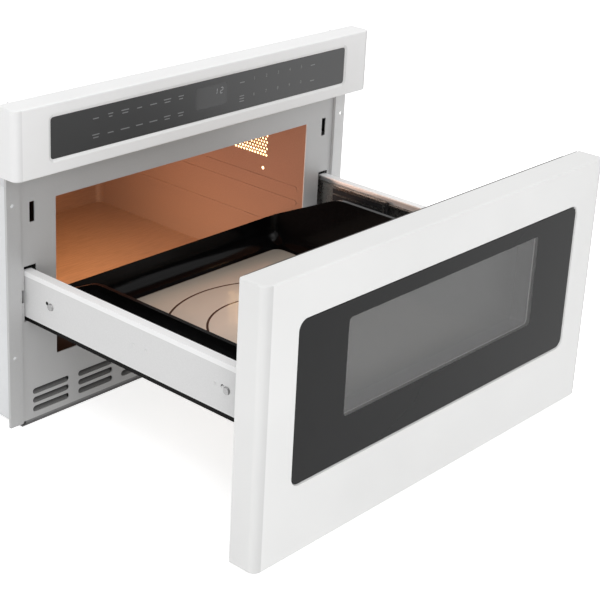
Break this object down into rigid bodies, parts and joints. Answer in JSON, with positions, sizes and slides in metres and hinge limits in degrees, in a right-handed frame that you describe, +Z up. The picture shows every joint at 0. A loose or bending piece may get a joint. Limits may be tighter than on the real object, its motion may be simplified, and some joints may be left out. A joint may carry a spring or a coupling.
{
  "type": "microwave drawer",
  "caption": "Built-in microwave oven whose food drawer slides out of the front on telescopic rails, with a touch panel above the drawer front.",
  "frame": {"origin": "centre line of the underside of the base, in the plane of the front plate's face", "axes": "+X to the right as seen from the front, +Y to the back, +Z up"},
  "size_m": [0.6064, 0.972, 0.407],
  "materials": {
    "white_enamel": "smooth white paint",
    "white_plastic": "smooth white plastic",
    "printed_glass": "dark grey glass with printed border",
    "clear_glass": "clear",
    "grey_paint": "satin light grey paint",
    "plate_steel": "satin grey paint",
    "black_enamel": "glossy black enamel",
    "cavity_steel": "brushed stainless, lit warm",
    "galvanised": "galvanised sheet",
    "zinc_steel": "zinc plated",
    "core_steel": "laminated core, varnished",
    "copper": "varnished copper windings",
    "alloy": "bare",
    "black_plastic": "fine grain",
    "white_resin": "plain",
    "gear_resin": "natural",
    "board": "solder resist",
    "display_black": "smooth",
    "foil": "printed foil",
    "tray_ceramic": "beige glass ceramic with printed rings",
    "mica": "mica sheet",
    "seal_rubber": "silicone",
    "bulb_glass": "clear"
  },
  "bodies": {
    "chassis": {"air_duct": "white_resin", "antenna_cover": "mica", "antenna_motor": "zinc_steel", "antenna_well": "cavity_steel", "base_pan": "galvanised", "case_screws": "zinc_steel", "cavity_liner": "cavity_steel", "control_bezel": "white_plastic", "control_board": "board", "control_glass": "printed_glass", "display_module": "display_black", "drive_motor": "black_plastic", "fan_housing": "white_resin", "fan_motor": "zinc_steel", "front_plate": "plate_steel", "hv_capacitor": "alloy", "hv_diode": "black_plastic", "hv_transformer_coils": "copper", "hv_transformer_core": "core_steel", "interlock_switches": "black_plastic", "lamp_bulb": "bulb_glass", "lamp_housing": "galvanised", "magnetron_anode": "alloy", "magnetron_filter_box": "galvanised", "magnetron_yoke": "galvanised", "mains_filter_board": "board", "outer_case": "galvanised", "panel_screws": "zinc_steel", "power_inlet": "black_plastic", "rear_panel": "galvanised", "side_flange_left": "plate_steel", "side_flange_right": "plate_steel", "slide_brackets": "galvanised", "slide_outer_left": "zinc_steel", "slide_outer_right": "zinc_steel", "thermal_cutouts": "black_plastic", "touch_foil": "foil", "waveguide": "galvanised"},
    "drawer": {"slide_inner_left": "zinc_steel", "slide_inner_right": "zinc_steel", "rail_left": "grey_paint", "rail_right": "grey_paint", "rail_screws": "zinc_steel", "drive_rack": "black_plastic", "basin": "black_enamel", "ceramic_tray": "tray_ceramic", "tray_seal": "seal_rubber", "door_skin": "white_enamel", "door_glass": "printed_glass", "window_frame": "black_plastic", "perforated_screen": "black_enamel", "inner_window": "clear_glass", "door_frame": "white_enamel", "choke_cover": "black_plastic", "latch_hooks": "white_resin"},
    "slide_middles": {"slide_middle_left": "zinc_steel", "slide_middle_right": "zinc_steel"},
    "drive_gear": {"drive_pinion": "gear_resin"},
    "fan_rotor": {"fan_wheel": "white_resin"},
    "antenna_rotor": {"stirrer_antenna": "alloy"}
  },
  "joints": [
    {"name": "drawer_slide", "type": "slide", "parent": "chassis", "child": "drawer", "axis": [0, 1, 0], "range_m": [0, 0.37]},
    {"name": "slide_middle_travel", "type": "slide", "parent": "chassis", "child": "slide_middles", "axis": [0, 1, 0], "range_m": [0, 0.185]},
    {"name": "drive_gear_turn", "type": "hinge", "parent": "chassis", "child": "drive_gear", "pos_m": [-0.257, 0.02, 0.127], "axis": [-1, 0, 0], "range_deg": [0, 1766.63]},
    {"name": "fan_turn", "type": "hinge", "parent": "chassis", "child": "fan_rotor", "pos_m": [0.165, 0.442, 0.088], "axis": [0, 1, 0], "continuous": true},
    {"name": "antenna_turn", "type": "hinge", "parent": "chassis", "child": "antenna_rotor", "pos_m": [0, 0.2005, 0.02], "axis": [0, 0, 1], "continuous": true}
  ],
  "couplings": [
    {"joint": "slide_middle_travel", "follows": "drawer_slide", "ratio": 0.5},
    {"joint": "drive_gear_turn", "follows": "drawer_slide", "rad_per_m": 83.333}
  ]
}
